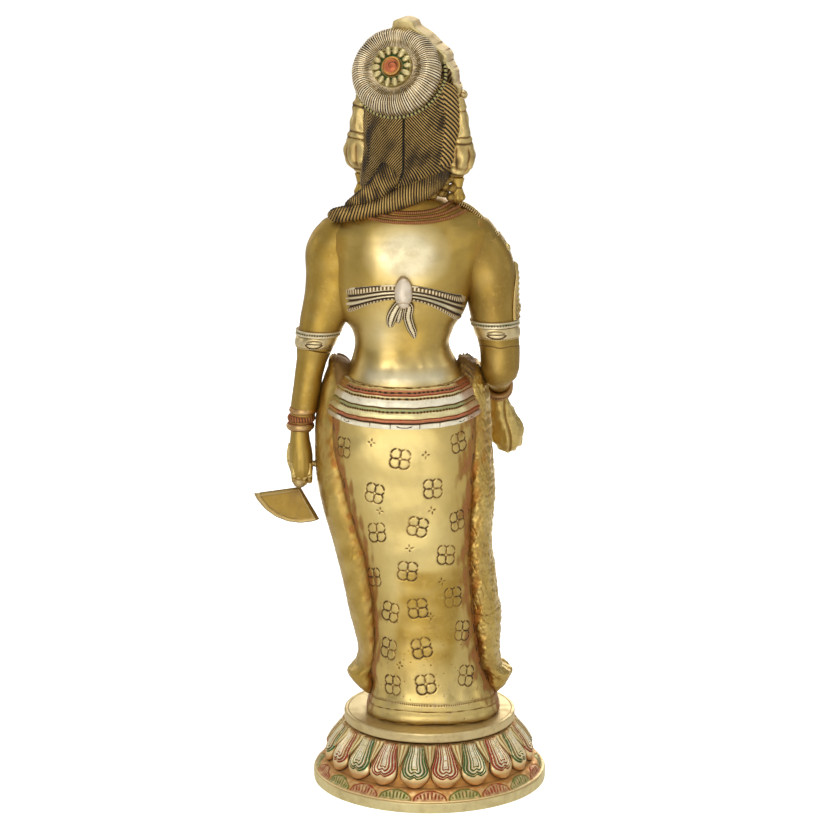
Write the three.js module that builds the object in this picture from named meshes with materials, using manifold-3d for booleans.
// Goddess idol: a brass standing figure on a round lotus pedestal, in millimetres, +Z up.
// The origin lies under the middle of the whole outline, level with the pedestal's underside.
// The figure faces -Y, so its left is +X.
import * as THREE from 'three';
import { mergeVertices } from 'three/addons/utils/BufferGeometryUtils.js';
import { LoftGeometry } from 'three/addons/geometries/LoftGeometry.js';
import Module from 'manifold-3d';

const wasm = await Module();
wasm.setup();

// Clearances shared by every piece
const clearance = 0.3;
const cutOverrun = 6;
// Cutting blocks span this many rim radii.
const blockSpanShare = 4;
// How far the middle of a trim piece stands out of the wall, as a part of its thickness.
const trimSeatShare = 0.33;

// How finely round forms are faceted
const discSides = 40;
const bodySides = 20;
const bunSides = 24;
const hollowSides = 16;
const armSides = 14;
const limbSides = 10;
const trimSides = 8;
const beadSides = 6;
const hexagonSides = 6;
const curveSides = 10;
const bunRimSteps = 6;
const ballRowShare = 0.7;
const petalCount = 20;
const pointsPerPetal = 5;

// Pedestal, turned disc and their fixing
const rimRadius = 116.5;
const pedestalHeight = 61;
const pedestalWall = 3.8;
const petalRelief = 7.5;
const discRadius = 85.5;
const discThickness = 9.6;
const discBevel = 1;
const studRadius = 6;
const studLength = 84;
const studTail = 18;
const washerRadius = 15;
const washerThickness = 2.5;
const nutRadius = 11;
const nutHeight = 9.5;
const anchorDepth = 30;
const anchorThickness = 10;
const anchorLift = 22;
const shelfShare = 0.345;
const bellyShare = 0.69;

// Skirt, side drapes, pleats and feet
const skirtLength = 333;
const hipHalfWidth = 75;
const hipHalfDepth = 57;
const hipShift = 25;
const skirtWall = 4;
const drapeWall = 4;
const drapeHalfDepth = 36;
const drapeShift = 4;
const drapeWidth = 46;
const leftDrapeReach = 111;
const rightDrapeReach = 70;
const drapeLift = 18;
const drapeRise = 27;
const pleatHalfWidth = 26;
const pleatHalfDepth = 11;
const pleatLift = 20;
const pleatDrop = 35;
const footLength = 46;
const footHalfWidth = 13;
const footHeight = 17;
const footSpread = 25;
const footReach = 36;

// Girdle and its clasp
const girdleHeight = 36;
const girdleThickness = 3.6;
const girdleSag = 9;
const girdleRise = 13;
const claspRadius = 15;
const claspThickness = 6;

// Torso, breast band, knot and necklaces
const torsoLength = 186;
const waistHalfWidth = 46;
const chestHalfWidth = 70;
const chestHalfDepth = 43;
const torsoWall = 4.6;
const spigotDepth = 20;
const breastRadius = 25;
const breastSpread = 28;
const breastLift = 97;
const breastDepthShare = 1.15;
const mouthDepth = 40;
const mouthWall = 15;
const throatDepth = 40;
const bandHeight = 26;
const bandLift = 83;
const bandTilt = 4;
const bandThickness = 2.6;
const bandNeck = 15;
const bandDrop = 17;
const bandGatherShare = 3;
const knotHalfWidth = 8.5;
const knotHalfHeight = 15.5;
const knotThickness = 9;
const tailWidth = 4.6;
const tailThickness = 3.2;
const tailLength = 46;
const tailTaperShare = 0.33;
const necklaceThickness = 2;
const necklaceSpacing = 4.4;
const necklaceLift = 175;
const necklaceDrop = 15;
const necklaceRise = 13;
const necklaceCount = 3;

// Left arm, which hangs, with the lotus it holds
const leftArmDrop = 208;
const leftArmSpread = 47;
const leftArmRadius = 24;
const shoulderSpread = 61;
const shoulderLift = 161;
const armbandLift = 37;
const elbowLift = 36;
const armbandHeight = 18;
const armbandThickness = 2.2;
const bangleThickness = 3.1;
const bangleCount = 3;
const bangleSinkShare = 0.15;
const bangleTallShare = 1.2;
const wristRadius = 11;
const leftHandLength = 68;
const leftHandHalfWidth = 12.5;
const leftHandHalfDepth = 10;
const gripShare = 0.66;
const lotusRadius = 50.5;
const lotusThickness = 12;
const lotusSweepAngle = 1.54;
const lotusTurnAngle = 4.33;
const lotusPointShare = 0.27;
const strutRadius = 4;
const strutShare = 0.5;

// Right arm, which bends forward at the elbow
const rightArmDrop = 165;
const rightArmSpread = 31;
const rightArmRadius = 25;
const elbowRowCount = 4;
const elbowForwardShare = 0.25;
const forearmReach = 54;
const forearmDrop = 36;
const forearmRadius = 15;
const rightHandLength = 68;
const rightHandHalfWidth = 18;
const rightHandHalfDepth = 13;
const armbandRaise = 10;
const braceletShare = 0.12;
const braceletWidth = 12.4;
const crestHeight = 56;
const crestHalfWidth = 14;
const crestThickness = 3;
const crestSwellShare = 0.55;

// Head, crown, ear ornaments and hair
const headHeight = 96;
const headHalfWidth = 36;
const headHalfDepth = 41;
const headWall = 6.5;
const headTurnAngle = 0.29;
const headSetForward = 7;
const neckRadius = 20;
const chinLift = 27;
const neckTenon = 20;
const neckRiseShare = 0.33;
const noseLength = 20;
const noseReach = 8;
const earLift = 40;
const hairThickness = 8;
const hairLift = 3;
const hairRise = 6;
const hairLineDepth = 12;
const hairLineAngle = -0.45;
const hairSway = 22;
const hairTailRise = 14;
const hairTailDrop = 24;
const tailReach = 78;
const tailHalfWidth = 13;
const tailHalfThickness = 9;
const bunRadius = 43.5;
const bunThickness = 32;
const bunRiseAngle = 0.42;
const bunDistance = 27;
const bunOverhang = 1;
const bunShift = 4.5;
const beadStringThickness = 2.6;
const rosetteRadius = 19;
const rosetteThickness = 3;
const rosetteBossRadius = 9;
const rosetteBeadCount = 14;
const rosetteBeadRadius = 2.8;
const crownHalfWidth = 48;
const crownHeight = 76;
const crownDrop = 24;
const crownLean = 33;
const crownBandHeight = 9;
const crownBandThickness = 3.4;
const crownKnobRadius = 5;
const crownShellShare = 1.06;
const crownKnobShare = 1.02;
const earThickness = 6;
const earHalfDepth = 9.6;
const earHalfHeight = 15;
const earReach = 48;
const earOrnamentRadius = 17.5;
const earOrnamentHalfDepth = 13;
const earOrnamentLength = 80;
const earDropLength = 27;
const earDropOverlap = 3;
const dropHalfWidth = 8;
const dropHalfDepth = 6.4;

// Shoulder garlands
const garlandHalfWidth = 5;
const garlandThickness = 2.6;
const garlandDrop = 50;

// Places that follow from the sizes
const fullTurn = Math.PI * 2;
const discBottom = pedestalHeight + clearance;
const discTop = discBottom + discThickness;
const figureBase = discTop + clearance;
const skirtTop = figureBase + skirtLength;
const torsoBase = skirtTop + clearance;
const torsoTop = torsoBase + torsoLength;
const drapeLength = skirtLength + drapeRise - drapeLift;
const pleatLength = skirtLength - pleatLift - pleatDrop;
const crownLift = headHeight - crownDrop;
const bunLift = headHeight + bunOverhang;
const hairLength = chinLift + headHeight + hairRise - hairLift;
const shoulderHeight = torsoBase + shoulderLift;

// Outlines as shares. Rows run from the bottom up, and each row begins with its height.
const middleShare = 0.5;
const girdleRowShares = [0, 0.33, 0.66, 1];
const bandRowShares = [0, middleShare, 1];
// Pedestal rows: height of the pedestal, radius of the rim, relief and width of the petals.
const pedestalShares = [
  [0, 1, 0, 1], [0.16, 1, 0, 1], [0.185, 0.985, 0, 1], [0.2, 0.97, 0, 1], [0.29, 0.945, 0, 1],
  [0.345, 0.895, 0.3, 0.4], [0.42, 0.85, 0.9, 0.8], [0.55, 0.845, 1, 1], [0.69, 0.815, 0.93, 1],
  [0.82, 0.76, 0.85, 0.96], [0.92, 0.72, 0.6, 0.92], [1, 0.7, 0, 1],
];

// Skirt rows: height, sway of the hips, half width, half depth, shift to the back.
const skirtShares = [
  [0, -0.14, 0.88, 1.05, 0], [0.038, -0.14, 0.865, 1.04, 0], [0.065, -0.12, 0.83, 1.02, 0],
  [0.095, -0.04, 0.78, 0.98, 0], [0.14, 0.12, 0.76, 0.95, 0], [0.266, 0.2, 0.72, 0.88, -0.01],
  [0.413, 0.36, 0.75, 0.87, -0.03], [0.564, 0.66, 0.84, 0.92, -0.02], [0.711, 0.88, 0.935, 0.97, 0],
  [0.837, 1, 1, 1.01, 0.02], [0.927, 1, 0.99, 1, 0.02], [1, 1, 0.93, 0.9, 0.01],
];
const skirtSquareness = 0.8;

// Drape rows: height, reach to the side, half width, half depth.
const leftDrapeShares = [
  [0, 0.6, 0.2, 0.5], [0.03, 0.69, 0.28, 0.6], [0.057, 0.74, 0.34, 0.64], [0.085, 0.665, 0.3, 0.7],
  [0.12, 0.64, 0.28, 0.8], [0.19, 0.68, 0.34, 0.85], [0.28, 0.75, 0.42, 0.9],
  [0.38, 0.815, 0.46, 0.95], [0.48, 0.89, 0.5, 1], [0.57, 0.97, 0.5, 1], [0.65, 1.01, 0.48, 1],
  [0.79, 1.02, 0.46, 0.95], [0.91, 0.96, 0.4, 0.85], [0.96, 0.91, 0.3, 0.7], [0.99, 0.89, 0.18, 0.5],
  [1, 0.86, 0.08, 0.25],
];
const rightDrapeShares = [
  [0, 1, 0.2, 0.5], [0.03, 1.12, 0.28, 0.6], [0.057, 1.18, 0.34, 0.64], [0.085, 1.03, 0.3, 0.7],
  [0.12, 1, 0.3, 0.8], [0.24, 1.015, 0.38, 0.9], [0.34, 0.95, 0.38, 0.95], [0.46, 0.885, 0.34, 1],
  [0.61, 0.92, 0.36, 1], [0.76, 0.87, 0.36, 0.95], [0.88, 0.845, 0.34, 0.85],
  [0.95, 0.74, 0.3, 0.7], [0.985, 0.66, 0.22, 0.5], [1, 0.56, 0.12, 0.25],
];

// Front pleat rows: height, half width, half depth.
const pleatShares = [
  [0, 0.9, 0.7], [0.04, 1, 0.95], [0.3, 0.8, 1], [0.6, 0.62, 1], [0.85, 0.52, 0.95], [1, 0.46, 0.7],
];

// Foot rows from the heel to the toes: length, half width, height.
const footShares = [
  [0, 0.75, 1.1], [0.3, 0.85, 1], [0.6, 1, 0.8], [0.85, 1, 0.55], [1, 0.7, 0.3],
];

// Torso rows: height, sway of the hips, half width as parts of the hips, waist and chest,
// half depth, shift to the back.
const torsoShares = [
  [0, 1, 0.88, 0, 0, 1.12, 0.06], [0.07, 1, 0.55, 0.36, 0, 1.02, 0.07],
  [0.135, 1.03, 0.2, 0.78, 0, 0.9, 0.06], [0.22, 1.09, 0, 1, 0, 0.82, 0.04],
  [0.3, 1.05, 0, 0.6, 0.306, 0.84, 0.05], [0.39, 1.05, 0, 0.2, 0.683, 0.9, 0.08],
  [0.46, 1.05, 0, 0, 0.86, 0.95, 0.1], [0.54, 1.03, 0, 0, 0.89, 1, 0.12],
  [0.62, 0.98, 0, 0, 0.915, 1.02, 0.13], [0.69, 0.9, 0, 0, 0.95, 1, 0.13],
  [0.753, 0.83, 0, 0, 1, 0.95, 0.12], [0.807, 0.8, 0, 0, 1, 0.87, 0.12],
  [0.86, 0.8, 0, 0, 0.97, 0.78, 0.12], [0.903, 0.8, 0, 0, 0.85, 0.7, 0.12],
  [0.94, 0.8, 0, 0, 0.72, 0.64, 0.12], [0.973, 0.8, 0, 0, 0.58, 0.6, 0.11],
  [1, 0.8, 0, 0, 0.44, 0.57, 0.1],
];
const torsoSquareness = 0.92;

// Band tail rows: drop, swing to the side in tail widths.
const leftTailShares = [[0, 0], [0.25, -0.9], [0.5, -1.8], [0.75, -2], [0.85, -2.2]];
const rightTailShares = [[0, 0.2], [0.25, 1.4], [0.5, 0.9], [0.75, 1.8], [1, 2.4]];

// Arm rows from the shoulder down: drop, spread, radius.
const leftArmShares = [
  [0, 0, 0.33], [0.025, 0.06, 0.64], [0.054, 0.15, 0.85], [0.103, 0.25, 1], [0.162, 0.34, 1.02],
  [0.25, 0.36, 0.96], [0.348, 0.415, 0.9], [0.47, 0.53, 0.87], [0.544, 0.62, 0.79],
  [0.613, 0.7, 0.7], [0.672, 0.755, 0.6], [0.75, 0.82, 0.56], [0.868, 0.895, 0.56],
  [0.946, 0.968, 0.48], [1, 1, 0.46],
];
const rightArmShares = [
  [0, 0, 0.32], [0.03, 0.06, 0.6], [0.067, 0.1, 0.78], [0.127, 0.17, 0.95], [0.2, 0.42, 0.96],
  [0.31, 0.6, 0.95], [0.43, 0.66, 0.89], [0.58, 0.71, 0.87], [0.67, 0.81, 0.81],
  [0.78, 0.89, 0.78], [0.88, 0.9, 0.76], [0.945, 0.935, 0.62], [0.985, 0.97, 0.34], [1, 1, 0.12],
];
// Forearm rows from the elbow: reach, drop, radius.
const rightForearmShares = [[0, 0, 1], [0.4, 0.3, 0.92], [0.8, 0.72, 0.76], [1, 1, 0.68]];
// Hand rows from the wrist: length, spread in half widths, half width, half depth.
const leftHandShares = [
  [0, 0, 0.72, 0.85], [0.15, 0, 0.85, 0.9], [0.4, -0.08, 1, 1], [0.65, -0.1, 1, 0.95],
  [0.85, -0.12, 0.85, 0.8], [1, -0.12, 0.5, 0.5],
];
const rightHandShares = [
  [0, 0, 0.48, 0.7], [0.18, 0.04, 0.56, 0.75], [0.42, 0.24, 0.78, 0.9], [0.64, 0.46, 0.98, 1],
  [0.84, 0.42, 0.86, 0.88], [1, 0.28, 0.4, 0.45],
];

// Head rows from the chin up: height, half width, half depth, shift to the front.
const headShares = [
  [0, 0.28, 0.22, 0.5], [0.05, 0.5, 0.45, 0.36], [0.14, 0.72, 0.68, 0.2], [0.28, 0.88, 0.86, 0.09],
  [0.42, 0.97, 0.95, 0.03], [0.58, 1, 1, 0], [0.72, 0.97, 0.98, -0.02], [0.84, 0.84, 0.87, -0.04],
  [0.94, 0.58, 0.62, -0.05], [1, 0.22, 0.25, -0.05],
];
const browShare = 0.55;
// Nose rows from the brow down: drop, shift to the back, half width, half height.
const noseShares = [[0, 0.5, 0.27, 0.33], [0.7, 0, 0.55, 0.5], [1, 0.25, 0.55, 0.25]];
// Hair rows from the nape up: height, sway to the left, half width, half depth, shift to the back.
const hairShares = [
  [0, 0.42, 0.7, 0.42, 0.36], [0.08, 0.26, 0.92, 0.6, 0.34], [0.2, 0.1, 1, 0.76, 0.24],
  [0.35, 0.04, 1, 0.9, 0.12], [0.55, 0, 1.04, 0.97, 0.04], [0.72, 0, 1.02, 0.98, 0],
  [0.86, 0, 0.88, 0.86, 0], [0.96, 0, 0.62, 0.6, 0], [1, 0, 0.26, 0.26, 0],
];
// Hair tail stations: reach, drop, shift to the back, size.
const hairTailShares = [
  [0.1, 0, 1.3, 0.8], [0.4, 0.45, 1.25, 1], [0.7, 0.8, 1, 0.85], [0.9, 1, 0.75, 0.6],
  [1.02, 1.1, 0.6, 0.3],
];
// Ear ornament stations from the crown's foot down: drop, reach, size.
const earOrnamentShares = [
  [0, 1, 0.36], [0.2, 1, 0.56], [0.48, 1, 0.76], [0.68, 1, 1.04], [0.8, 1, 0.98], [0.9, 0.98, 0.66],
  [1, 0.96, 0.3],
];
// Ear drop stations from the top down: drop, size.
const earDropShares = [[0, 1], [0.4, 0.7], [0.75, 1], [1, 0.4]];
// Garland stations from the neck to the arm: reach, drop.
const garlandShares = [[0.66, 0.06], [0.94, 0.22], [1.18, 0.48], [1.4, 0.78], [1.56, 1.06]];
// Crown outline from the foot to the tip: half width, height.
const crownShares = [
  [0.98, 0], [1.04, 0.1], [0.94, 0.17], [0.96, 0.3], [0.82, 0.45], [0.83, 0.52], [0.6, 0.66],
  [0.42, 0.8], [0.24, 0.88], [0.19, 0.96], [0, 1],
];

const brass = { color: 0xb79a55, roughness: 0.36, metalness: 1 };
const wornBrass = { color: 0x9f7f3c, roughness: 0.5, metalness: 1 };
const paleBrass = { color: 0xcdb67c, roughness: 0.42, metalness: 1 };
const hairBrass = { color: 0x8a6f3b, roughness: 0.5, metalness: 1 };
const redBrass = { color: 0xa8643f, roughness: 0.5, metalness: 0.8 };
const steel = { color: 0x8d9094, roughness: 0.45, metalness: 1 };

const figure = new THREE.Group();

// A closed geometry as a solid that can be joined and cut.
function solidOf(geometry) {
  const bare = new THREE.BufferGeometry().copy(geometry);
  bare.deleteAttribute('normal');
  bare.deleteAttribute('uv');
  const merged = mergeVertices(bare);
  const vertProperties = new Float32Array(merged.attributes.position.array);
  const triVerts = new Uint32Array(merged.index.array);
  return new wasm.Manifold(new wasm.Mesh({ numProp: 3, vertProperties, triVerts }));
}

function geometryOf(solid) {
  const mesh = solid.getMesh();
  const geometry = new THREE.BufferGeometry();
  geometry.setAttribute('position', new THREE.BufferAttribute(new Float32Array(mesh.vertProperties), 3));
  geometry.setIndex(new THREE.BufferAttribute(new Uint32Array(mesh.triVerts), 1));
  geometry.computeVertexNormals();
  return geometry;
}

// The largest body that a cut leaves.
function mainBody(solid) {
  const bodies = solid.decompose();
  return bodies.reduce((largest, body) => (body.volume() > largest.volume() ? body : largest));
}

function cut(solid, cutters) {
  return mainBody(cutters.reduce((rest, cutter) => rest.subtract(cutter), solid));
}

function addPiece(group, name, solid, finish) {
  const mesh = new THREE.Mesh(geometryOf(solid), new THREE.MeshStandardMaterial(finish));
  mesh.name = name;
  group.add(mesh);
}

function softCorner(value, squareness) {
  return Math.sign(value) * Math.abs(value) ** squareness;
}

function ringPoints(centre, halfWidth, halfDepth, sides, squareness = 1) {
  const points = [];
  for (let i = 0; i < sides; i += 1) {
    const angle = (i / sides) * fullTurn;
    const x = centre.x + halfWidth * softCorner(Math.cos(angle), squareness);
    const y = centre.y + halfDepth * softCorner(Math.sin(angle), squareness);
    points.push(new THREE.Vector3(x, y, centre.z));
  }
  return points;
}

function loftOf(sections) {
  return solidOf(new LoftGeometry(sections, { closed: true, capStart: true, capEnd: true }));
}

// A closed band: its sections run round and come back to the first one.
function ringLoftOf(sections) {
  const round = [...sections, sections[0].map((point) => point.clone())];
  return solidOf(new LoftGeometry(round, { closed: true, capStart: false, capEnd: false }));
}

// An upright form from rows of z, centre and half sizes, grown by a margin on every side.
function columnOf(rows, grow, sides, squareness = 1) {
  const last = rows.length - 1;
  const sections = rows.map((row, i) => {
    const lift = i === 0 ? -grow : i === last ? grow : 0;
    const centre = new THREE.Vector3(row.x, row.y, row.z + lift);
    return ringPoints(centre, row.halfWidth + grow, row.halfDepth + grow, sides, squareness);
  });
  return loftOf(sections);
}

// A form along a bent line of stations, with oval sections square to the line.
function limbOf(stations, grow, sides, reference = new THREE.Vector3(0, -1, 0)) {
  const last = stations.length - 1;
  const sections = stations.map((station, i) => {
    const before = stations[Math.max(i - 1, 0)].at;
    const after = stations[Math.min(i + 1, last)].at;
    const along = after.clone().sub(before).normalize();
    const across = reference.clone().cross(along).normalize();
    const up = along.clone().cross(across);
    const end = i === 0 ? -grow : i === last ? grow : 0;
    const centre = station.at.clone().addScaledVector(along, end);
    const points = [];
    for (let k = 0; k < sides; k += 1) {
      const angle = (k / sides) * fullTurn;
      points.push(centre.clone()
        .addScaledVector(across, (station.side + grow) * Math.cos(angle))
        .addScaledVector(up, (station.front + grow) * Math.sin(angle)));
    }
    return points;
  });
  return loftOf(sections);
}

function turnedOf(profile, segments) {
  const points = profile.map(([radius, height]) => new THREE.Vector2(radius, height));
  const geometry = new THREE.LatheGeometry([...points, points[0].clone()], segments);
  return solidOf(geometry.rotateX(Math.PI / 2));
}

function blockOf(width, depth, height, centre) {
  const geometry = new THREE.BoxGeometry(width, depth, height);
  return solidOf(geometry.translate(centre.x, centre.y, centre.z));
}

function slabOf(low, high) {
  const wide = rimRadius * blockSpanShare;
  return blockOf(wide, wide, high - low, new THREE.Vector3(0, 0, (low + high) / 2));
}

function ballOf(centre, halfSizes, segments) {
  const geometry = new THREE.SphereGeometry(1, segments, Math.round(segments * ballRowShare));
  geometry.scale(halfSizes.x, halfSizes.y, halfSizes.z);
  return solidOf(geometry.translate(centre.x, centre.y, centre.z));
}

// A row of an upright form at any height between its own rows.
function rowAt(rows, height) {
  const upper = rows.findIndex((row) => row.z >= height);
  const above = rows[upper < 0 ? rows.length - 1 : Math.max(upper, 1)];
  const below = rows[upper < 0 ? rows.length - 2 : Math.max(upper, 1) - 1];
  const share = THREE.MathUtils.clamp((height - below.z) / (above.z - below.z), 0, 1);
  const mix = (key) => THREE.MathUtils.lerp(below[key], above[key], share);
  return { z: height, x: mix('x'), y: mix('y'), halfWidth: mix('halfWidth'), halfDepth: mix('halfDepth') };
}

// A point on an upright form's wall, pushed out by a distance.
function wallPoint(rows, height, angle, out, squareness = 1) {
  const row = rowAt(rows, height);
  const x = row.x + (row.halfWidth + out) * softCorner(Math.cos(angle), squareness);
  const y = row.y + (row.halfDepth + out) * softCorner(Math.sin(angle), squareness);
  return new THREE.Vector3(x, y, height);
}

// Pedestal: a hollow casting with a round of petals, open beneath.
function pedestalForm() {
  const sides = petalCount * pointsPerPetal;
  const sections = pedestalShares.map(([height, radius, relief, width]) => {
    const points = [];
    for (let i = 0; i < sides; i += 1) {
      const fromMiddle = 1 - (2 * (i % pointsPerPetal)) / pointsPerPetal;
      const swell = Math.sqrt(Math.max(1 - (fromMiddle / width) ** 2, 0));
      const reach = radius * rimRadius + relief * petalRelief * swell;
      const angle = (i / sides) * fullTurn;
      const x = reach * Math.cos(angle);
      const y = reach * Math.sin(angle);
      points.push(new THREE.Vector3(x, y, height * pedestalHeight));
    }
    return points;
  });
  return loftOf(sections);
}

function pedestalHollow() {
  const radiusAt = (share) => {
    const above = pedestalShares.find(([height]) => height >= share);
    return above[1] * rimRadius - pedestalWall;
  };
  const roof = pedestalHeight - pedestalWall;
  return turnedOf([
    [0, -cutOverrun], [radiusAt(shelfShare), -cutOverrun],
    [radiusAt(shelfShare), shelfShare * pedestalHeight],
    [radiusAt(bellyShare), bellyShare * pedestalHeight],
    [radiusAt(1), roof], [0, roof],
  ], hollowSides);
}

function studForm(grow) {
  const low = pedestalHeight - pedestalWall - studTail;
  const profile = [
    [0, low - grow], [studRadius + grow, low - grow],
    [studRadius + grow, low + studLength + grow], [0, low + studLength + grow],
  ];
  return turnedOf(profile, armSides);
}

function hexagonRing(low, radius, height, hole) {
  const outline = new THREE.Shape();
  for (let i = 0; i < hexagonSides; i += 1) {
    const angle = (i / hexagonSides) * fullTurn;
    const x = radius * Math.cos(angle);
    const y = radius * Math.sin(angle);
    if (i === 0) outline.moveTo(x, y);
    else outline.lineTo(x, y);
  }
  const geometry = new THREE.ExtrudeGeometry(outline, { depth: height, bevelEnabled: false });
  return solidOf(geometry.translate(0, 0, low)).subtract(hole);
}

function buildPedestal() {
  const group = new THREE.Group();
  const studHole = studForm(clearance);
  addPiece(group, 'lotus_pedestal', pedestalForm().subtract(pedestalHollow()).subtract(studHole), brass);
  const disc = turnedOf([
    [0, discBottom], [discRadius - discBevel, discBottom], [discRadius, discBottom + discBevel],
    [discRadius, discTop - discBevel], [discRadius - discBevel, discTop], [0, discTop],
  ], discSides);
  addPiece(group, 'pedestal_top_disc', disc.subtract(studHole), paleBrass);
  addPiece(group, 'fixing_stud', studForm(0), steel);
  const roof = pedestalHeight - pedestalWall - clearance;
  const washer = turnedOf([
    [0, roof - washerThickness], [washerRadius, roof - washerThickness], [washerRadius, roof], [0, roof],
  ], hollowSides);
  addPiece(group, 'fixing_washer', washer.subtract(studHole), steel);
  const nutLow = roof - washerThickness - clearance - nutHeight;
  addPiece(group, 'fixing_nut', hexagonRing(nutLow, nutRadius, nutHeight, studHole), steel);
  return group;
}

// Skirt, its drapes and pleats
const skirtRows = skirtShares.map(([height, sway, width, depth, back]) => ({
  z: figureBase + height * skirtLength,
  x: sway * hipShift,
  y: back * hipHalfDepth,
  halfWidth: width * hipHalfWidth,
  halfDepth: depth * hipHalfDepth,
}));

function skirtForm(grow) {
  return columnOf(skirtRows, grow, bodySides, skirtSquareness);
}

function drapeRows(shares, reach, side) {
  return shares.map(([height, out, width, depth]) => ({
    z: figureBase + drapeLift + height * drapeLength,
    x: side * (out * reach - width * drapeWidth),
    y: -drapeShift,
    halfWidth: width * drapeWidth,
    halfDepth: depth * drapeHalfDepth,
  }));
}

const leftDrapeRows = drapeRows(leftDrapeShares, leftDrapeReach, 1);
const rightDrapeRows = drapeRows(rightDrapeShares, rightDrapeReach, -1);
const leftDrapeForm = (grow) => columnOf(leftDrapeRows, grow, limbSides);
const rightDrapeForm = (grow) => columnOf(rightDrapeRows, grow, limbSides);

function pleatForm(grow) {
  const rows = pleatShares.map(([height, width, depth]) => {
    const z = figureBase + pleatLift + height * pleatLength;
    const body = rowAt(skirtRows, z);
    return {
      z,
      x: body.x,
      y: body.y - body.halfDepth,
      halfWidth: width * pleatHalfWidth,
      halfDepth: depth * pleatHalfDepth,
    };
  });
  return columnOf(rows, grow, limbSides, skirtSquareness);
}

function footForm(side, grow) {
  const centre = skirtRows[0].x + side * footSpread;
  const stations = footShares.map(([length, width, height]) => ({
    at: new THREE.Vector3(centre, -footReach - length * footLength, figureBase + height * footHeight / 2),
    side: width * footHalfWidth,
    front: height * footHeight / 2,
  }));
  return limbOf(stations, grow, limbSides, new THREE.Vector3(0, 0, 1));
}

// Girdle: a band round the hips that dips at the back and the front.
const girdleBottom = skirtTop + girdleRise - girdleHeight;

const torsoRows = torsoShares.map(([height, sway, hips, waist, chest, depth, back]) => ({
  z: torsoBase + height * torsoLength,
  x: sway * hipShift,
  y: back * chestHalfDepth,
  halfWidth: hips * hipHalfWidth + waist * waistHalfWidth + chest * chestHalfWidth,
  halfDepth: depth * chestHalfDepth,
}));
const neckX = torsoRows[torsoRows.length - 1].x;
const neckY = torsoRows[torsoRows.length - 1].y;

function girdleForm() {
  const bodyRows = [...skirtRows, ...torsoRows];
  const sides = bodySides;
  const sections = girdleRowShares.map((share) => {
    const points = [];
    for (let i = 0; i < sides; i += 1) {
      const angle = (i / sides) * fullTurn;
      const dip = girdleSag * Math.sin(angle) ** 2;
      const height = girdleBottom + share * girdleHeight - dip;
      points.push(wallPoint(bodyRows, height, angle, girdleThickness, skirtSquareness));
    }
    return points;
  });
  return loftOf(sections);
}

function claspForm(grow) {
  const height = girdleBottom + girdleHeight / 2 - girdleSag;
  const front = wallPoint(skirtRows, height, -Math.PI / 2, girdleThickness, skirtSquareness);
  const radius = claspRadius + grow;
  const geometry = new THREE.CylinderGeometry(radius, radius, claspThickness * 2 + grow, hollowSides);
  return solidOf(geometry.translate(front.x, front.y, front.z));
}

function torsoForm(grow) {
  return columnOf(torsoRows, grow, bodySides, torsoSquareness);
}

function breastForm(side, grow) {
  const radius = breastRadius + grow;
  const height = torsoBase + breastLift;
  const centre = new THREE.Vector3(torsoRows[0].x + side * breastSpread, -breastRadius, height);
  return ballOf(centre, new THREE.Vector3(radius, radius * breastDepthShare, radius), limbSides);
}

function chestForm(grow) {
  return torsoForm(grow).add(breastForm(1, grow)).add(breastForm(-1, grow));
}

function spigotForm(inset) {
  const reach = slabOf(skirtTop - spigotDepth, torsoBase + cutOverrun);
  return skirtForm(-skirtWall - inset).intersect(reach);
}

// Breast band: wide at the sides and drawn in towards the knot at the back.
function bandForm(grow) {
  const sides = bodySides;
  const sections = bandRowShares.map((share) => {
    const points = [];
    for (let i = 0; i < sides; i += 1) {
      const angle = (i / sides) * fullTurn;
      const towardsBack = Math.max(Math.sin(angle), 0) ** bandGatherShare;
      const tall = THREE.MathUtils.lerp(bandHeight, bandNeck, towardsBack) + grow * 2;
      const middle = torsoBase + bandLift + bandDrop * towardsBack + bandTilt * Math.cos(angle);
      const height = middle + (share - middleShare) * tall;
      points.push(wallPoint(torsoRows, height, angle, bandThickness + grow, torsoSquareness));
    }
    return points;
  });
  const cups = [1, -1].map((side) => breastForm(side, bandThickness + grow));
  const middle = torsoBase + bandLift;
  const reach = slabOf(middle - bandHeight / 2 - grow, middle + bandHeight / 2 + grow);
  return cups.reduce((whole, cup) => whole.add(cup.intersect(reach)), loftOf(sections));
}

const knotHeight = torsoBase + bandLift + bandDrop;
const knotOut = knotThickness * trimSeatShare;
const knotPlace = wallPoint(torsoRows, knotHeight, Math.PI / 2, knotOut, torsoSquareness);

function knotForm(grow) {
  const halfSizes = new THREE.Vector3(knotHalfWidth + grow, knotThickness + grow, knotHalfHeight + grow);
  return ballOf(knotPlace, halfSizes, limbSides);
}

function bandTailForm(shares, grow) {
  const stations = shares.map(([drop, swing]) => {
    const height = knotPlace.z - drop * tailLength;
    const wall = wallPoint(torsoRows, height, Math.PI / 2, tailThickness * trimSeatShare, torsoSquareness);
    const taper = 1 - drop * tailTaperShare;
    return {
      at: new THREE.Vector3(wall.x - swing * tailWidth, wall.y, height),
      side: tailWidth * taper,
      front: tailThickness,
    };
  });
  return limbOf(stations, grow, trimSides);
}

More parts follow.
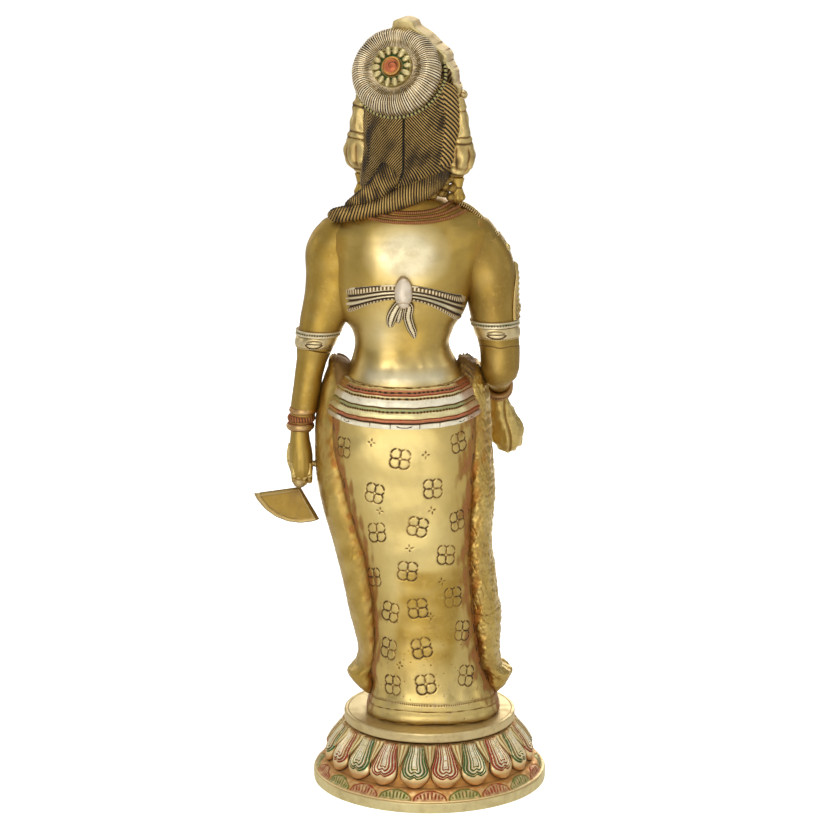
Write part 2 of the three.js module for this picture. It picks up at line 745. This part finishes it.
// Necklace: one ring round the foot of the neck, lower at the throat than at the nape.
function necklaceForm(order, grow) {
  const sections = [];
  const sides = bodySides;
  const bead = necklaceThickness + grow;
  for (let i = 0; i < sides; i += 1) {
    const angle = (i / sides) * fullTurn;
    const drop = necklaceDrop * (1 - Math.sin(angle)) / 2 + order * necklaceSpacing;
    const rise = necklaceRise * Math.cos(angle) ** 2;
    const height = torsoBase + necklaceLift + rise - drop;
    const centre = wallPoint(torsoRows, height, angle, necklaceThickness * trimSeatShare, torsoSquareness);
    const out = new THREE.Vector3(Math.cos(angle), Math.sin(angle), 0);
    const points = [];
    for (let k = 0; k < beadSides; k += 1) {
      const turn = (k / beadSides) * fullTurn;
      const point = centre.clone().addScaledVector(out, bead * Math.cos(turn));
      points.push(point.setZ(height + bead * Math.sin(turn)));
    }
    sections.push(points.reverse());
  }
  return ringLoftOf(sections);
}

const allNecklaces = (grow) => Array.from({ length: necklaceCount }, (_, k) => necklaceForm(k, grow));

// Left arm
const leftShoulder = new THREE.Vector3(neckX + shoulderSpread, 0, shoulderHeight);
const rightShoulder = new THREE.Vector3(neckX - shoulderSpread, 0, shoulderHeight);

function armStations(shares, shoulder, side, drop, spread, radius) {
  return shares.map(([down, out, width]) => ({
    at: new THREE.Vector3(shoulder.x + side * out * spread, shoulder.y, shoulder.z - down * drop),
    side: width * radius,
    front: width * radius,
  }));
}

const leftStations = armStations(
  leftArmShares, leftShoulder, 1, leftArmDrop, leftArmSpread, leftArmRadius,
);
const rightStations = armStations(
  rightArmShares, rightShoulder, -1, rightArmDrop, rightArmSpread, rightArmRadius,
);
const leftElbowHeight = torsoBase + elbowLift;
const leftWrist = leftStations[leftStations.length - 1].at;

const leftArmForm = (grow) => limbOf(leftStations, grow, armSides);
const rightArmForm = (grow) => limbOf(rightStations, grow, armSides);

function stationAt(stations, height) {
  const index = stations.findIndex((station) => station.at.z <= height);
  return stations[index < 0 ? stations.length - 1 : index];
}

function cuffOf(form, low, high, thickness) {
  return form(thickness).intersect(slabOf(low, high)).subtract(form(clearance));
}

function bangleForm(centre, radius, grow) {
  const ring = radius - bangleThickness * bangleSinkShare;
  const geometry = new THREE.TorusGeometry(ring, bangleThickness + grow, beadSides, bodySides);
  geometry.scale(1, 1, bangleTallShare);
  return solidOf(geometry.translate(centre.x, centre.y, centre.z));
}

function leftHandForm(grow) {
  const stations = leftHandShares.map(([length, shift, width, depth]) => ({
    at: new THREE.Vector3(
      leftWrist.x + shift * leftHandHalfWidth,
      leftWrist.y,
      leftWrist.z - clearance - length * leftHandLength,
    ),
    side: width * leftHandHalfWidth,
    front: depth * leftHandHalfDepth,
  }));
  return limbOf(stations, grow, limbSides);
}

// Lotus held by the left hand: a fan of petals seen from the side.
function lotusForm() {
  const grip = leftHandLength * gripShare;
  const centre = new THREE.Vector3(leftWrist.x, leftWrist.y, leftWrist.z - grip);
  const outline = new THREE.Shape();
  const point = -lotusPointShare * lotusRadius;
  outline.moveTo(0, point);
  outline.absarc(0, 0, lotusRadius, lotusTurnAngle, lotusTurnAngle + lotusSweepAngle, false);
  outline.lineTo(0, point);
  const geometry = new THREE.ExtrudeGeometry(outline, {
    depth: lotusThickness, bevelEnabled: false, curveSegments: curveSides,
  });
  geometry.translate(0, 0, -lotusThickness / 2);
  geometry.rotateX(Math.PI / 2);
  return solidOf(geometry.translate(centre.x, centre.y, centre.z));
}

function strutForm() {
  const height = leftWrist.z - leftHandLength * strutShare;
  const drape = rowAt(leftDrapeRows, height);
  const length = leftWrist.x - drape.x;
  const geometry = new THREE.CylinderGeometry(strutRadius, strutRadius, length, trimSides);
  geometry.rotateZ(Math.PI / 2);
  return solidOf(geometry.translate(drape.x + length / 2, leftWrist.y, height));
}

// Right forearm and hand
const elbowStation = rightStations[rightStations.length - elbowRowCount];
const rightElbow = new THREE.Vector3(
  elbowStation.at.x,
  rightShoulder.y - rightArmRadius * elbowForwardShare,
  elbowStation.at.z,
);
const rightWrist = rightElbow.clone().add(new THREE.Vector3(0, -forearmReach, -forearmDrop));

function rightForearmForm(grow) {
  const stations = rightForearmShares.map(([reach, drop, radius]) => ({
    at: rightElbow.clone().add(new THREE.Vector3(0, -reach * forearmReach, -drop * forearmDrop)),
    side: radius * forearmRadius,
    front: radius * forearmRadius,
  }));
  return limbOf(stations, grow, limbSides, new THREE.Vector3(0, 0, 1));
}

function rightHandForm(grow) {
  const stations = rightHandShares.map(([length, spread, width, depth]) => ({
    at: new THREE.Vector3(
      rightWrist.x - spread * rightHandHalfWidth,
      rightWrist.y - clearance,
      rightWrist.z - length * rightHandLength,
    ),
    side: width * rightHandHalfWidth,
    front: depth * rightHandHalfDepth,
  }));
  return limbOf(stations, grow, limbSides);
}

// The leaf-shaped crest stands on the armband and follows the curve of the arm.
function crestForm(low) {
  const outline = new THREE.Shape();
  const swell = crestHeight * crestSwellShare;
  outline.moveTo(-crestHalfWidth, 0);
  outline.quadraticCurveTo(-crestHalfWidth, swell, 0, crestHeight);
  outline.quadraticCurveTo(crestHalfWidth, swell, crestHalfWidth, 0);
  outline.lineTo(-crestHalfWidth, 0);
  const depth = rightArmRadius * 2;
  const geometry = new THREE.ExtrudeGeometry(outline, {
    depth, bevelEnabled: false, curveSegments: curveSides,
  });
  const toSide = new THREE.Matrix4().makeBasis(
    new THREE.Vector3(0, 1, 0), new THREE.Vector3(0, 0, 1), new THREE.Vector3(1, 0, 0),
  );
  geometry.applyMatrix4(toSide);
  const inner = stationAt(rightStations, low).at;
  geometry.translate(inner.x - depth, inner.y, low);
  return solidOf(geometry).intersect(rightArmForm(crestThickness)).subtract(rightArmForm(clearance));
}

// Head and everything on it, in the head's own frame: the origin is the foot of the neck.
const headPlace = new THREE.Matrix4()
  .makeRotationZ(-headTurnAngle)
  .setPosition(neckX, neckY, torsoTop);
const headPlaceBack = headPlace.clone().invert();
const toWorld = (solid) => solid.transform(headPlace.elements);
const toHead = (solid) => solid.transform(headPlaceBack.elements);

function neckForm(grow) {
  const radius = neckRadius + grow;
  const high = chinLift + headHeight * neckRiseShare;
  const low = -neckTenon - grow;
  return turnedOf([[0, low], [radius, low], [radius, high], [0, high]], hollowSides);
}

const headRows = headShares.map(([height, width, depth, front]) => ({
  z: chinLift + height * headHeight,
  x: 0,
  y: -headSetForward - front * headHalfDepth,
  halfWidth: width * headHalfWidth,
  halfDepth: depth * headHalfDepth,
}));

function noseForm(grow) {
  const brow = chinLift + headHeight * browShare;
  const face = -headSetForward - headHalfDepth;
  const stations = noseShares.map(([drop, back, width, height]) => ({
    at: new THREE.Vector3(0, face + back * noseReach, brow - drop * noseLength),
    side: width * noseReach,
    front: height * noseReach,
  }));
  return limbOf(stations, grow, trimSides);
}

function earForm(side, grow) {
  const centre = new THREE.Vector3(side * headHalfWidth, 0, chinLift + earLift);
  const halfSizes = new THREE.Vector3(earThickness + grow, earHalfDepth + grow, earHalfHeight + grow);
  return ballOf(centre, halfSizes, limbSides);
}

function headForm(grow) {
  const skull = columnOf(headRows, grow, hollowSides);
  return skull.add(neckForm(grow)).add(noseForm(grow)).add(earForm(1, grow)).add(earForm(-1, grow));
}

function headHollow() {
  const bore = neckRadius - headWall;
  const low = -neckTenon - cutOverrun;
  const high = chinLift + headHeight * neckRiseShare;
  const neckBore = turnedOf([[0, low], [bore, low], [bore, high], [0, high]], armSides);
  return neckBore.add(columnOf(headRows.slice(2, -1), -headWall, armSides));
}

// Hair: a cap over the back of the head that ends in a slanted hairline.
const hairRows = hairShares.map(([height, sway, width, depth, back]) => ({
  z: hairLift + height * hairLength,
  x: sway * hairSway,
  y: -headSetForward + back * headHalfDepth,
  halfWidth: width * (headHalfWidth + hairThickness),
  halfDepth: depth * (headHalfDepth + hairThickness),
}));

// What is cut from the front of the hair: a slanted block, and an upright one below the ears.
function hairLineBlock() {
  const wide = headHeight * blockSpanShare;
  const geometry = new THREE.BoxGeometry(wide, wide, wide);
  geometry.translate(0, -wide / 2, 0);
  geometry.rotateX(hairLineAngle);
  const slanted = solidOf(geometry.translate(0, -hairLineDepth, chinLift + earLift));
  const middle = new THREE.Vector3(0, -hairLineDepth - wide / 2, chinLift + earLift - wide / 2);
  return slanted.add(blockOf(wide, wide, wide, middle));
}

function hairForm(grow) {
  return columnOf(hairRows, grow, hollowSides);
}

const bunCentre = new THREE.Vector3(bunShift, bunDistance, chinLift + bunLift);
const bunPlace = new THREE.Matrix4()
  .makeRotationX(-(Math.PI / 2 - bunRiseAngle))
  .setPosition(bunCentre);

// The bun and what sits on it are turned about Z and then laid over to the back of the head.
function bunTurned(profile, segments) {
  const points = profile.map(([radius, height]) => new THREE.Vector2(radius, height));
  const geometry = new THREE.LatheGeometry([...points, points[0].clone()], segments);
  geometry.rotateX(Math.PI / 2);
  return solidOf(geometry.applyMatrix4(bunPlace));
}

function bunForm(grow) {
  const half = bunThickness / 2;
  const profile = [[0, -half - grow]];
  for (let i = 0; i <= bunRimSteps; i += 1) {
    const angle = (i / bunRimSteps - middleShare) * Math.PI;
    const radius = bunRadius - half + half * Math.cos(angle) + grow;
    profile.push([radius, (half + grow) * Math.sin(angle)]);
  }
  profile.push([0, half + grow]);
  return bunTurned(profile, bunSides);
}

function rosetteForm(grow) {
  const low = bunThickness / 2 - rosetteThickness;
  const high = bunThickness / 2 + rosetteThickness + grow;
  const radius = rosetteRadius + grow;
  return bunTurned([[0, low], [radius, low], [radius, high], [0, high]], bunSides);
}

function rosetteBossForm(grow) {
  const low = bunThickness / 2;
  const high = low + rosetteThickness * 2;
  const radius = rosetteBossRadius + grow;
  const dome = high + rosetteThickness / 2 + grow;
  const profile = [[0, low], [radius, low], [radius, high + grow], [radius / 2, dome], [0, dome]];
  return bunTurned(profile, hollowSides);
}

// The beads are one casting: a ring that swells into each bead.
function rosetteBeadsForm() {
  const pitch = (rosetteBossRadius + rosetteRadius) / 2;
  const seat = bunThickness / 2 + rosetteThickness + clearance;
  const sections = [];
  const steps = rosetteBeadCount * 2;
  for (let i = 0; i < steps; i += 1) {
    const angle = (i / steps) * fullTurn;
    const radius = i % 2 === 0 ? rosetteBeadRadius : rosetteBeadRadius / 2;
    const points = [];
    for (let k = 0; k < beadSides; k += 1) {
      const turn = (k / beadSides) * fullTurn;
      const out = pitch + radius * Math.cos(turn);
      const rise = seat + radius + radius * Math.sin(turn);
      points.push(new THREE.Vector3(out * Math.cos(angle), out * Math.sin(angle), rise));
    }
    sections.push(points.reverse());
  }
  return ringLoftOf(sections).transform(bunPlace.elements);
}

function beadStringForm(grow) {
  const ring = bunRadius - beadStringThickness / 2;
  const geometry = new THREE.TorusGeometry(ring, beadStringThickness + grow, beadSides, bunSides);
  geometry.translate(0, 0, -bunThickness / 2);
  return solidOf(geometry.applyMatrix4(bunPlace));
}

// Crown: a half round block with stepped lobes that stands on the front of the head, flat behind.
function crownForm(grow) {
  const outline = new THREE.Shape();
  crownShares.forEach(([width, height], i) => {
    const x = width * crownHalfWidth;
    const z = height * crownHeight;
    if (i === 0) outline.moveTo(x, z);
    else outline.lineTo(x, z);
  });
  [...crownShares].reverse().slice(1).forEach(([width, height]) => {
    outline.lineTo(-width * crownHalfWidth, height * crownHeight);
  });
  const depth = headHalfDepth * 2;
  const geometry = new THREE.ExtrudeGeometry(outline, { depth, bevelEnabled: false });
  geometry.rotateX(Math.PI / 2);
  geometry.translate(0, -headSetForward, chinLift + crownLift);
  const shellRow = (z, size) => ({
    z,
    x: 0,
    y: -headSetForward,
    halfWidth: crownHalfWidth * crownShellShare + size,
    halfDepth: headHalfDepth + hairThickness / 2 + size,
  });
  const low = chinLift + crownLift - cutOverrun;
  const high = chinLift + crownLift + crownHeight + cutOverrun;
  const shell = (size) => columnOf([shellRow(low, size), shellRow(high, size)], 0, bunSides);
  const upright = solidOf(geometry).intersect(shell(grow));
  const foot = chinLift + crownLift;
  const lean = new THREE.Matrix4().makeTranslation(0, 0, foot)
    .multiply(new THREE.Matrix4().makeShear(0, 0, 0, 0, 0, crownLean / crownHeight))
    .multiply(new THREE.Matrix4().makeTranslation(0, 0, -foot));
  return upright.transform(lean.elements);
}

function crownKnobForm(side, grow) {
  const radius = crownKnobRadius + grow;
  const reach = crownHalfWidth * crownKnobShare;
  const centre = new THREE.Vector3(side * reach, -headSetForward - hairThickness, chinLift + crownLift);
  return ballOf(centre, new THREE.Vector3(radius, radius, radius), trimSides);
}

// The ornament hangs beside the head from the crown's foot and swells into a ball below the ear.
function earOrnamentForm(side, grow) {
  const stations = earOrnamentShares.map(([drop, out, size]) => ({
    at: new THREE.Vector3(side * out * earReach, 0, chinLift + crownLift - drop * earOrnamentLength),
    side: size * earOrnamentRadius,
    front: size * earOrnamentHalfDepth,
  }));
  return limbOf(stations, grow, limbSides);
}

function earDropForm(side, grow) {
  const top = chinLift + crownLift - earOrnamentLength + earDropOverlap;
  const x = side * earReach;
  const stations = earDropShares.map(([drop, size]) => ({
    at: new THREE.Vector3(x, 0, top - drop * earDropLength),
    side: size * dropHalfWidth,
    front: size * dropHalfDepth,
  }));
  return limbOf(stations, grow, trimSides);
}

// Hair tail, in the world frame: it leaves the nape and lies over the left shoulder.
function tailForm(grow) {
  const stations = hairTailShares.map(([reach, drop, back, size]) => ({
    at: new THREE.Vector3(
      neckX + reach * tailReach,
      neckY + back * neckRadius,
      torsoTop + hairTailRise - drop * hairTailDrop,
    ),
    side: size * tailHalfThickness,
    front: size * tailHalfWidth,
  }));
  return limbOf(stations, grow, limbSides);
}

function garlandForm(side, grow) {
  const stations = garlandShares.map(([out, drop]) => ({
    at: new THREE.Vector3(
      neckX + side * out * shoulderSpread,
      neckY,
      torsoTop - drop * garlandDrop,
    ),
    side: garlandThickness,
    front: garlandHalfWidth,
  }));
  return limbOf(stations, grow, trimSides);
}

function buildLowerBody() {
  const group = new THREE.Group();
  const stud = studForm(clearance);
  const feet = [footForm(1, clearance), footForm(-1, clearance)];
  const belowTop = slabOf(figureBase - cutOverrun, skirtTop);
  const hollow = columnOf(
    [{ ...skirtRows[0], z: skirtRows[0].z - cutOverrun }, ...skirtRows,
      { ...skirtRows[skirtRows.length - 1], z: skirtTop + cutOverrun }],
    -skirtWall, bodySides, skirtSquareness,
  );
  const skirt = cut(skirtForm(0).intersect(belowTop), [hollow, ...feet]);
  addPiece(group, 'skirt_body', skirt, brass);
  const anchorHeight = figureBase + anchorLift;
  const room = rowAt(skirtRows, anchorHeight);
  const anchorBlock = blockOf(
    hipHalfWidth * 2, anchorDepth, anchorThickness,
    new THREE.Vector3(0, room.y, anchorHeight),
  );
  const anchor = anchorBlock.intersect(skirtForm(-skirtWall - clearance));
  addPiece(group, 'fixing_anchor_bar', cut(anchor, [stud, ...feet]), steel);
  const girdleCutters = [skirtForm(clearance), torsoForm(clearance)];
  const girdleBlank = girdleForm();
  addPiece(group, 'waist_girdle', cut(girdleBlank, girdleCutters), wornBrass);
  addPiece(group, 'girdle_clasp', cut(claspForm(0), [...girdleCutters, girdleBlank]), brass);
  const body = skirtForm(clearance);
  const torso = torsoForm(clearance);
  // Each drape is a shell that is open towards the skirt.
  const drapeHollow = (rows) => columnOf(rows.slice(3, -4), -drapeWall, limbSides);
  const drapes = [
    ['left_side_drape', leftDrapeForm, drapeHollow(leftDrapeRows)],
    ['right_side_drape', rightDrapeForm, drapeHollow(rightDrapeRows)],
  ];
  const arms = [leftArmForm(clearance), rightArmForm(clearance)];
  drapes.forEach(([name, form, inside]) => {
    addPiece(group, name, cut(form(0), [inside, body, torso, girdleBlank, ...arms]), brass);
  });
  const pleats = cut(pleatForm(0), [body, girdleBlank, claspForm(clearance), ...feet]);
  addPiece(group, 'front_pleats', pleats, brass);
  addPiece(group, 'left_foot', footForm(1, 0), paleBrass);
  addPiece(group, 'right_foot', footForm(-1, 0), paleBrass);
  return group;
}

function buildTorso() {
  const group = new THREE.Group();
  const aboveSkirt = slabOf(torsoBase, torsoTop);
  const throat = slabOf(torsoBase - spigotDepth, torsoTop - throatDepth);
  const mouth = columnOf([
    { ...torsoRows[0], z: skirtTop - mouthDepth },
    { ...torsoRows[0], z: torsoBase + mouthDepth },
  ], -mouthWall, hollowSides, torsoSquareness);
  const lowerRows = torsoRows.slice(0, -4).filter((row, i) => i % 2 === 0);
  const hollow = columnOf(lowerRows, -torsoWall, hollowSides, torsoSquareness)
    .intersect(throat)
    .add(mouth);
  const socket = toWorld(neckForm(clearance));
  const body = chestForm(0).intersect(aboveSkirt).add(spigotForm(clearance)).subtract(hollow);
  addPiece(group, 'torso', cut(body, [socket]), brass);
  const chest = chestForm(clearance);
  addPiece(group, 'breast_band', cut(bandForm(0), [chest, knotForm(clearance)]), wornBrass);
  const band = bandForm(clearance);
  addPiece(group, 'band_knot', cut(knotForm(0), [chest]), paleBrass);
  const knot = knotForm(clearance);
  const leftTail = cut(bandTailForm(leftTailShares, 0), [chest, band, knot]);
  addPiece(group, 'band_tail_left', leftTail, wornBrass);
  const tailGap = bandTailForm(leftTailShares, clearance);
  const rightTail = cut(bandTailForm(rightTailShares, 0), [chest, band, knot, tailGap]);
  addPiece(group, 'band_tail_right', rightTail, wornBrass);
  const torso = torsoForm(clearance);
  const neck = toWorld(neckForm(clearance));
  for (let order = 0; order < necklaceCount; order += 1) {
    const above = Array.from({ length: order }, (_, k) => necklaceForm(k, clearance));
    const necklace = cut(necklaceForm(order, 0), [torso, neck, ...above]);
    addPiece(group, `necklace_${order + 1}`, necklace, redBrass);
  }
  const necklaces = allNecklaces(clearance);
  const left = cut(garlandForm(1, 0), [torso, leftArmForm(clearance), ...necklaces]);
  addPiece(group, 'left_shoulder_garland', left, wornBrass);
  const right = cut(garlandForm(-1, 0), [torso, rightArmForm(clearance), ...necklaces]);
  addPiece(group, 'right_shoulder_garland', right, wornBrass);
  return group;
}

function buildLeftArm() {
  const group = new THREE.Group();
  const chest = chestForm(clearance).add(bandForm(clearance));
  const above = slabOf(leftElbowHeight, shoulderHeight + cutOverrun);
  const below = slabOf(leftWrist.z + clearance, leftElbowHeight - clearance);
  const arm = leftArmForm(0);
  addPiece(group, 'left_upper_arm', cut(arm.intersect(above), [chest]), brass);
  addPiece(group, 'left_forearm', cut(arm.intersect(below), [skirtForm(clearance)]), brass);
  const bandLow = torsoBase + armbandLift;
  const armband = cuffOf(leftArmForm, bandLow, bandLow + armbandHeight, armbandThickness);
  addPiece(group, 'left_armband', cut(armband, [chest]), wornBrass);
  const drape = leftDrapeForm(clearance);
  const halfTall = bangleThickness * bangleTallShare;
  const pitch = (halfTall + clearance) * 2;
  for (let i = 0; i < bangleCount; i += 1) {
    const height = leftWrist.z + halfTall + clearance + i * pitch;
    const centre = stationAt(leftStations, height).at.clone().setZ(height);
    const bangle = bangleForm(centre, wristRadius, 0);
    addPiece(group, `left_bangle_${i + 1}`, cut(bangle, [leftArmForm(clearance), drape]), redBrass);
  }
  addPiece(group, 'left_hand', cut(leftHandForm(0), [drape]), brass);
  const hand = leftHandForm(clearance);
  addPiece(group, 'hand_lotus', cut(lotusForm(), [hand, drape]), paleBrass);
  addPiece(group, 'hand_strut', cut(strutForm(), [hand, drape]), wornBrass);
  return group;
}

function buildRightArm() {
  const group = new THREE.Group();
  const chest = chestForm(clearance).add(bandForm(clearance));
  const crestLow = torsoBase + armbandLift + armbandRaise + armbandHeight + clearance;
  addPiece(group, 'right_upper_arm', cut(rightArmForm(0), [chest]), brass);
  const bandLow = torsoBase + armbandLift + armbandRaise;
  const armband = cuffOf(rightArmForm, bandLow, bandLow + armbandHeight, armbandThickness);
  addPiece(group, 'right_armband', cut(armband, [chest]), wornBrass);
  addPiece(group, 'right_armband_crest', cut(crestForm(crestLow), [chest]), wornBrass);
  const near = [
    rightArmForm(clearance), skirtForm(clearance), rightDrapeForm(clearance), girdleForm(),
  ];
  const forearm = cut(rightForearmForm(0), [...near, rightHandForm(clearance)]);
  addPiece(group, 'right_forearm', forearm, brass);
  addPiece(group, 'right_hand', cut(rightHandForm(0), near), brass);
  const bracelet = rightForearmForm(bangleThickness).intersect(braceletBlock());
  const cutters = [rightForearmForm(clearance), rightHandForm(clearance), ...near];
  addPiece(group, 'right_bangle', cut(bracelet, cutters), redBrass);
  return group;
}

function braceletBlock() {
  const wide = rightHandLength;
  const middle = rightWrist.clone().lerp(rightElbow, braceletShare);
  const geometry = new THREE.BoxGeometry(wide, braceletWidth, wide);
  geometry.rotateX(Math.atan2(forearmDrop, forearmReach));
  return solidOf(geometry.translate(middle.x, middle.y, middle.z));
}

function buildHead() {
  const group = new THREE.Group();
  group.applyMatrix4(headPlace);
  addPiece(group, 'head', headForm(0).subtract(headHollow()), brass);
  const head = headForm(clearance);
  const torsoNear = toHead(torsoForm(clearance));
  const necklaces = allNecklaces(clearance).map(toHead);
  const hairCutters = [head, hairLineBlock(), torsoNear];
  addPiece(group, 'hair_cap', cut(hairForm(0), hairCutters), hairBrass);
  const hair = hairForm(clearance).subtract(hairLineBlock());
  addPiece(group, 'hair_bun', cut(bunForm(0), [head, hair]), hairBrass);
  const bun = bunForm(clearance);
  addPiece(group, 'bun_bead_string', cut(beadStringForm(0), [head, hair, bun]), paleBrass);
  addPiece(group, 'bun_rosette', cut(rosetteForm(0), [bun]), paleBrass);
  const rosette = rosetteForm(clearance);
  addPiece(group, 'bun_rosette_boss', cut(rosetteBossForm(0), [rosette]), redBrass);
  const beads = cut(rosetteBeadsForm(), [rosette, rosetteBossForm(clearance)]);
  addPiece(group, 'bun_rosette_beads', beads, paleBrass);
  const crownCutters = [head, hair, bun, beadStringForm(clearance)];
  addPiece(group, 'crown', cut(crownForm(0), crownCutters), paleBrass);
  const band = headForm(crownBandThickness)
    .intersect(slabOf(chinLift + crownLift - crownBandHeight, chinLift + crownLift - clearance));
  addPiece(group, 'crown_band', cut(band, [head, hair]), wornBrass);
  [[1, 'left'], [-1, 'right']].forEach(([side, word]) => {
    const knob = cut(crownKnobForm(side, 0), [...crownCutters, crownForm(clearance), band]);
    addPiece(group, `${word}_crown_knob`, knob, paleBrass);
    const ornament = cut(earOrnamentForm(side, 0), [head, hair, torsoNear]);
    addPiece(group, `${word}_ear_ornament`, ornament, brass);
    const dropCutters = [head, hair, torsoNear, earOrnamentForm(side, clearance), ...necklaces];
    const drop = cut(earDropForm(side, 0), dropCutters);
    addPiece(group, `${word}_ear_drop`, drop, brass);
  });
  return group;
}

function buildHairTail() {
  const group = new THREE.Group();
  const cutters = [
    torsoForm(clearance), leftArmForm(clearance), toWorld(headForm(clearance)),
    toWorld(hairForm(clearance)), garlandForm(1, clearance),
    toWorld(earDropForm(1, clearance)), toWorld(earOrnamentForm(1, clearance)),
    ...allNecklaces(clearance),
  ];
  addPiece(group, 'hair_tail', cut(tailForm(0), cutters), hairBrass);
  return group;
}

figure.add(buildPedestal());
figure.add(buildLowerBody());
figure.add(buildTorso());
figure.add(buildLeftArm());
figure.add(buildRightArm());
figure.add(buildHead());
figure.add(buildHairTail());

// The whole figure is set sideways so that its outline is centred over the origin.
const outline = new THREE.Box3().setFromObject(figure);
figure.position.x = -(outline.min.x + outline.max.x) / 2;

export default figure;
